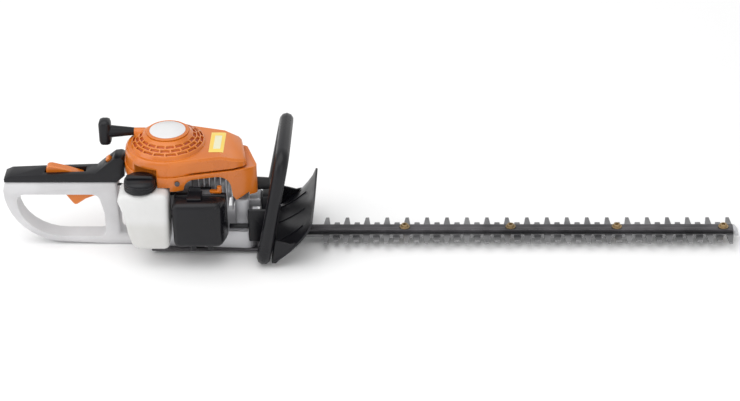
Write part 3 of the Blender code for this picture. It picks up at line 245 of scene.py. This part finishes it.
# The guide bar is a blackened steel strip that stiffens the blades. Four shouldered bolts with
# plated heads and hexagon sockets hold bar and blades together; a cast cap shields the tips.
def bored(piece, centre, radius, depth):
    """Sinks a hexagon socket `depth` deep into the top of `piece` at `centre`."""
    bpy.ops.object.select_all(action="DESELECT")
    bpy.ops.mesh.primitive_cylinder_add(vertices=6, radius=radius, depth=2 * depth,
                                        location=centre)
    tool = bpy.context.object
    sink = piece.modifiers.new("socket", "BOOLEAN")
    sink.object, sink.operation, sink.solver = tool, "DIFFERENCE", "EXACT"
    bpy.context.view_layer.objects.active = piece
    bpy.ops.object.modifier_apply(modifier="socket")
    bpy.data.objects.remove(tool)
    return piece


blackened_steel = metal_finish("blackened_steel", (0.105, 0.10, 0.108), (0.06, 0.058, 0.062), 0.42,
                               0.0015, 0.00003, stretch=(0.1, 1, 1), metal=0.75,
                               worn=(0.26, 0.26, 0.27))
brass_plate = metal_finish("brass_plate", (0.36, 0.25, 0.13), (0.24, 0.17, 0.09), 0.46, 0.0006,
                           0.00002, worn=(0.62, 0.50, 0.30))
cast_aluminium = metal_finish("cast_aluminium", (0.60, 0.60, 0.62), (0.46, 0.46, 0.48), 0.48,
                              0.0007, 0.00010, metal=0.55, worn=(0.80, 0.80, 0.80))
dressed("guide_bar", blackened_steel)
dressed("tip_guard", cast_aluminium, corner=0.0006)
for number in range(1, 5):
    bolt = dressed("bar_bolt_%d" % number, brass_plate, corner=0.0004)
    low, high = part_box("bar_bolt_%d" % number)
    bored(bolt, ((low.x + high.x) / 2, (low.y + high.y) / 2, high.z), 0.0031, 0.0022)

# Inside the gear housing a pinion on the clutch drum turns the large drive gear, whose two
# eccentrics push the blades. All are machined steel with a film of grease.
machined_steel = metal_finish("machined_steel", (0.46, 0.46, 0.48), (0.34, 0.33, 0.32), 0.30,
                              0.0006, 0.00002)
for node in ("drive_gear", "clutch_hub", "lower_crank", "upper_crank", "crank_pin",
             "connecting_rod", "wrist_pin", "spark_plug"):
    dressed(node, machined_steel, corner=0.0003)
for node in ("clutch_drum", "clutch_shoe_1", "clutch_shoe_2", "recoil_spring"):
    dressed(node, blackened_steel, corner=0.0003)

# The engine is a small two-stroke: a die-cast crankcase and finned cylinder with a cast piston,
# flywheel and carburettor, left as they came from the mould.
for node in ("piston", "flywheel", "crankcase", "cylinder", "carburettor"):
    dressed(node, cast_aluminium, corner=0.0003)


# The ignition module, the intake flange, the air filter's box and the stay are moulded in black
# nylon with glass fibre, which leaves a fine satin grain. The muffler's guard, which the photo
# hides, is shown in the same finish.
def moulded(name, colour, shade, rough, grain, depth, worn, coat=0.0):
    """Moulded plastic: a grain, faint patches of handling and paler corners."""
    made, nodes, links, shader, where = material(name, colour, rough, 0.0, coat)
    patches = noise(nodes, links, where, 0.06, 4.0)
    fine = noise(nodes, links, where, grain, 2.0)
    colour = ramp(nodes, links, patches, (0.35, shade), (0.65, colour))
    colour = blend_colour(nodes, links, edges(nodes, links, 0.0012), colour, worn)
    links.new(colour, shader.inputs["Base Color"])
    links.new(spread(nodes, links, patches, rough - 0.05, rough + 0.09), shader.inputs["Roughness"])
    bump(nodes, links, shader, fine, depth)
    return made


def settle(name, finish, body):
    """Gives the active new piece its name, finish and body, with its place in its mesh."""
    piece = bpy.context.object
    piece.name = name
    bpy.ops.object.transform_apply(location=True, rotation=True, scale=True)
    bpy.ops.object.shade_smooth_by_angle(angle=math.radians(35))
    piece.data.materials.clear()
    piece.data.materials.append(finish)
    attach(piece, body)
    piece.select_set(False)
    return piece


def laid_on(name, under, x, y, proud, finish, cells):
    """A thin strip moulded or stuck on top of `under`, over x and y, standing `proud` of it."""
    above_all = 0.30
    bpy.ops.object.select_all(action="DESELECT")
    bpy.ops.mesh.primitive_grid_add(x_subdivisions=cells[0], y_subdivisions=cells[1], size=1,
                                    location=((x[0] + x[1]) / 2, (y[0] + y[1]) / 2, above_all))
    strip = bpy.context.object
    bpy.ops.transform.resize(value=(x[1] - x[0], y[1] - y[0], 1))
    bpy.ops.object.transform_apply(location=True, rotation=True, scale=True)
    fall = strip.modifiers.new("fall", "SHRINKWRAP")
    fall.target, fall.wrap_method, fall.use_project_z = under, "PROJECT", True
    fall.use_negative_direction, fall.use_positive_direction, fall.offset = True, False, 0.0001
    thick = strip.modifiers.new("thick", "SOLIDIFY")
    thick.thickness, thick.offset = proud, 1.0
    soft = strip.modifiers.new("soft", "BEVEL")
    soft.width, soft.segments, soft.limit_method = min(0.0006, proud * 0.4), 2, "ANGLE"
    for step in ("fall", "thick", "soft"):
        bpy.ops.object.modifier_apply(modifier=step)
    return settle(name, finish, under["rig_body"])


black_nylon = moulded("black_nylon", (0.0075, 0.0075, 0.0100), (0.0050, 0.0050, 0.0068), 0.30,
                      0.0006, 0.00006, (0.026, 0.026, 0.031))
black_nylon.node_tree.nodes["Principled BSDF"].inputs["Specular IOR Level"].default_value = 0.32
for node in ("ignition_module", "intake_flange", "filter_base", "filter_latch", "muffler_guard",
             "stay_rod"):
    dressed(node, black_nylon, corner=0.0007)
dressed("filter_cover", black_nylon, corner=0.0022)
foam = moulded("filter_foam", (0.05, 0.05, 0.055), (0.03, 0.03, 0.03), 0.9, 0.0014, 0.0006,
               (0.07, 0.07, 0.07))
dressed("filter_element", foam)
dressed("muffler", blackened_steel, corner=0.0008)

# Rubber: the plug's boot and lead, the primer bulb, the hoses and the anti-vibration buffers.
black_rubber = moulded("black_rubber", (0.012, 0.012, 0.013), (0.008, 0.008, 0.009), 0.58, 0.0009,
                       0.00008, (0.024, 0.024, 0.025))
for node in ("plug_boot", "ignition_lead", "primer_bulb", "throttle_cable", "fuel_hose",
             "av_buffer_1", "av_buffer_2"):
    dressed(node, black_rubber, corner=0.0005)


# The starter cover and the engine shroud are two orange mouldings that screw together over the
# fan, with a semi-gloss skin. The levers and the stop switch are moulded in the same colour.
def turned(profile, centre, steps=48):
    """A round piece built up from its foot: a disc extruded and scaled through (radius, z)."""
    bpy.ops.object.select_all(action="DESELECT")
    bpy.ops.mesh.primitive_circle_add(vertices=steps, radius=profile[0][0], fill_type="NGON",
                                      location=(centre[0], centre[1], centre[2] + profile[0][1]))
    bpy.ops.object.mode_set(mode="EDIT")
    bpy.ops.mesh.select_all(action="SELECT")
    for (radius, z), (wider, higher) in zip(profile, profile[1:]):
        bpy.ops.mesh.extrude_region_move(TRANSFORM_OT_translate={"value": (0, 0, higher - z)})
        bpy.ops.transform.resize(value=(wider / radius, wider / radius, 1),
                                 center_override=(centre[0], centre[1], centre[2] + higher))
    bpy.ops.mesh.select_all(action="SELECT")
    bpy.ops.mesh.normals_make_consistent(inside=False)
    bpy.ops.object.mode_set(mode="OBJECT")
    return bpy.context.object


orange_shell = moulded("orange_shell", (0.64, 0.165, 0.010), (0.57, 0.138, 0.008), 0.26, 0.0016,
                       0.00004, (0.90, 0.36, 0.08), coat=0.3)
for node in ("throttle_trigger", "lockout_lever", "stop_switch", "choke_lever"):
    dressed(node, orange_shell, corner=0.0006)
starter_cover = dressed("starter_cover", orange_shell, corner=0.0005)
dressed("engine_shroud", orange_shell, corner=0.0006)
dressed("cover_screw", blackened_steel, corner=0.0003)

badge_low, badge_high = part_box("cover_badge")
crank_x = (badge_low.x + badge_high.x) / 2
white_badge = moulded("blank_badge", (0.74, 0.74, 0.74), (0.68, 0.68, 0.69), 0.22, 0.002, 0.00002,
                      (0.8, 0.8, 0.8), coat=0.3)
radius = (badge_high.x - badge_low.x) / 2
face_radius = radius - 0.0046  # of the white disc within the orange seat
turned([(radius - 0.0002, 0), (radius, 0.0004), (radius, 0.0016), (radius - 0.0006, 0.0021),
        (radius - 0.0040, 0.0023), (0.0015, 0.0023)], (crank_x, 0, badge_low.z), 64)
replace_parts(settle("badge_seat", orange_shell, "frame"), "cover_badge")
turned([(face_radius, 0.0020), (face_radius, 0.0028), (face_radius - 0.0006, 0.0032),
        (0.0015, 0.0032)], (crank_x, 0, badge_low.z), 64)
settle("blank_badge", white_badge, "frame")

# A thin cone in a darker orange lies close under the slots of the crown: painted shade, standing
# for the dark inside of the cover seen through the slots.
# Its darker oranges are painted shade, not the colour of a real part.
painted_shade_orange = moulded("painted_shade_orange", (0.50, 0.080, 0.008), (0.36, 0.050, 0.006), 0.5, 0.002,
                        0.0001, (0.50, 0.10, 0.02))
crown_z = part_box("starter_cover")[1].z
shade_cone_top, shade_cone_foot = 0.0350, 0.0515  # radii
below_crown, shade_cone_fall = 0.0048, 0.0115
bpy.ops.object.select_all(action="DESELECT")
bpy.ops.mesh.primitive_circle_add(vertices=64, radius=shade_cone_top, fill_type="NOTHING",
                                  location=(crank_x, 0, crown_z - below_crown))
bpy.ops.object.mode_set(mode="EDIT")
bpy.ops.mesh.select_all(action="SELECT")
bpy.ops.mesh.extrude_edges_move(TRANSFORM_OT_translate={"value": (0, 0, -shade_cone_fall)})
bpy.ops.transform.resize(value=(shade_cone_foot / shade_cone_top, shade_cone_foot / shade_cone_top, 1),
                         center_override=(crank_x, 0, crown_z - below_crown - shade_cone_fall))
bpy.ops.mesh.select_all(action="SELECT")
bpy.ops.mesh.normals_make_consistent(inside=False)
bpy.ops.object.mode_set(mode="OBJECT")
sheet = bpy.context.object.modifiers.new("sheet", "SOLIDIFY")
sheet.thickness, sheet.offset = 0.0007, 0.0
bpy.ops.object.modifier_apply(modifier="sheet")
settle("painted_shade_cone", painted_shade_orange, "frame")

# A blank foil label, yellow with a pale panel, is stuck on the flat of the cover.
foil = moulded("label_foil", (0.84, 0.60, 0.11), (0.80, 0.56, 0.09), 0.3, 0.002, 0.00001,
               (0.85, 0.7, 0.2))
foil_panel = moulded("label_panel", (0.74, 0.72, 0.50), (0.66, 0.66, 0.48), 0.3, 0.002, 0.00001,
                     (0.8, 0.8, 0.6))
laid_on("blank_label", starter_cover, (crank_x + 0.0615, crank_x + 0.0830), (-0.029, 0.031), 0.0003,
        foil, (10, 4))
laid_on("blank_label_panel", starter_cover, (crank_x + 0.0675, crank_x + 0.0780),
        (-0.019, 0.021), 0.0006, foil_panel, (6, 4))

# The starter's T-grip is a hard black moulding on a braided cord.
dressed("starter_grip", black_nylon, corner=0.0010)
braid = moulded("starter_cord", (0.62, 0.60, 0.55), (0.5, 0.48, 0.42), 0.8, 0.0008, 0.0003,
                (0.7, 0.7, 0.65))
dressed("starter_rope", braid)

# The rear handle is a white nylon moulding with a black cover over the grip; the tank is a
# blow-moulded bottle in milky plastic that shows the fuel through its wall.
white_nylon = moulded("white_nylon", (0.64, 0.635, 0.645), (0.56, 0.555, 0.565), 0.45, 0.0009,
                      0.00006, (0.72, 0.72, 0.72))
for node in ("rear_handle", "rope_pulley"):
    dressed(node, white_nylon, corner=0.0006)
milky_tank, nodes, links, shader, where = material("milky_tank", (0.66, 0.66, 0.65), 0.38)
height = nodes.new("ShaderNodeSeparateXYZ")
links.new(where, height.inputs["Vector"])
cloud = noise(nodes, links, where, 0.03, 3.0)
level = spread(nodes, links, height.outputs["Z"], 0.0, 1.0, 0.072, 0.084)
fuelled = ramp(nodes, links, cloud, (0.3, (0.58, 0.575, 0.555)), (0.7, (0.62, 0.615, 0.60)))
empty = ramp(nodes, links, cloud, (0.3, (0.65, 0.65, 0.645)), (0.7, (0.69, 0.69, 0.685)))
links.new(blend_colour(nodes, links, level, fuelled, empty), shader.inputs["Base Color"])
bump(nodes, links, shader, noise(nodes, links, where, 0.0015), 0.00005)
dressed("fuel_tank", milky_tank, corner=0.0012)
dressed("grip_cover", black_nylon, corner=0.0008)

# The filler cap is a ribbed black moulding with a bar across the top to turn it by.
cap_low, cap_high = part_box("filler_cap")
cap_centre = ((cap_low.x + cap_high.x) / 2, (cap_low.y + cap_high.y) / 2, cap_low.z)
cap_radius = (cap_high.x - cap_low.x) / 2
ring = [(cap_radius - 0.0022, 0)]
for z in (0.0008, 0.0048, 0.0088):
    ring += [(cap_radius - 0.0011, z), (cap_radius - 0.0002, z + 0.0009), (cap_radius, z + 0.0018),
             (cap_radius - 0.0002, z + 0.0027), (cap_radius - 0.0011, z + 0.0036)]
ring += [(cap_radius - 0.0004, 0.0135), (cap_radius - 0.0008, 0.0155), (cap_radius - 0.0028, 0.0172),
         (cap_radius - 0.0075, 0.0180), (0.002, 0.0183)]
turned(ring, cap_centre, 56)
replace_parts(settle("filler_cap_body", black_nylon, "cap"), "filler_cap")
bpy.ops.mesh.primitive_cube_add(size=1, location=(cap_centre[0], cap_centre[1], cap_low.z + 0.0185))
bpy.ops.transform.resize(value=(0.040, 0.010, 0.0074))
bpy.ops.object.transform_apply(location=True, rotation=True, scale=True)
soft = bpy.context.object.modifiers.new("soft", "BEVEL")
soft.width, soft.segments = 0.0028, 3
bpy.ops.object.modifier_apply(modifier="soft")
settle("filler_cap_bar", black_nylon, "cap")

# The front handle is a steel loop in a hard black coating; the guard is a scoop in black nylon
# with moulded ribs on the side of the hand.
dressed("front_handle", black_nylon, corner=0.0008, smooth=60)
hand_guard = dressed("hand_guard", black_nylon, corner=0.0008)
for number, y in enumerate((-0.050, 0.0, 0.050)):
    laid_on("guard_rib_%d" % (number + 1), hand_guard, (-0.1380, -0.0990), (y - 0.0013, y + 0.0013),
            0.0012, black_nylon, (14, 1))

# The gear housing is die-cast aluminium, closed below by a blackened steel plate that also
# holds the front handle's feet.
dressed("gear_housing", cast_aluminium, corner=0.0008)
dressed("base_plate", blackened_steel, corner=0.0005)

# A pale seamless floor, a broad soft box overhead, a tall panel to the left, a fill from the
# front and a low rim light.
paper, nodes, links, shader, where = material("pale_paper", (0.93, 0.93, 0.93), 0.9)
links.new(ramp(nodes, links, noise(nodes, links, where, 0.4), (0.3, (0.92, 0.92, 0.92)),
               (0.7, (0.94, 0.94, 0.94))), shader.inputs["Base Color"])
bpy.ops.mesh.primitive_plane_add(size=14, location=(0, 3, -0.0004))
floor = bpy.context.object
floor.name = "pale_floor"
floor.data.materials.append(paper)

world = bpy.data.worlds.new("studio")
bpy.context.scene.world = world
world.use_nodes = True
world.node_tree.nodes["Background"].inputs["Color"].default_value = (1, 1, 1, 1)
world.node_tree.nodes["Background"].inputs["Strength"].default_value = 0.74
for name, place, size, power in (("soft_box", (-0.7, -0.5, 2.3), 2.8, 34),
                                 ("left_panel", (-2.2, -0.8, 0.9), 1.4, 9),
                                 ("front_fill", (0.8, -2.6, 0.9), 1.6, 6),
                                 ("rim_light", (0.9, 1.9, 1.2), 2.0, 3)):
    lamp = bpy.data.lights.new(name, "AREA")
    lamp.energy, lamp.size = power, size
    light = bpy.data.objects.new(name, lamp)
    light.location = place
    light.rotation_euler = (Vector(place) - Vector((-0.1, 0, 0.08))).to_track_quat("Z", "Y").to_euler()
    bpy.context.collection.objects.link(light)
bpy.context.scene.view_settings.view_transform = "Standard"
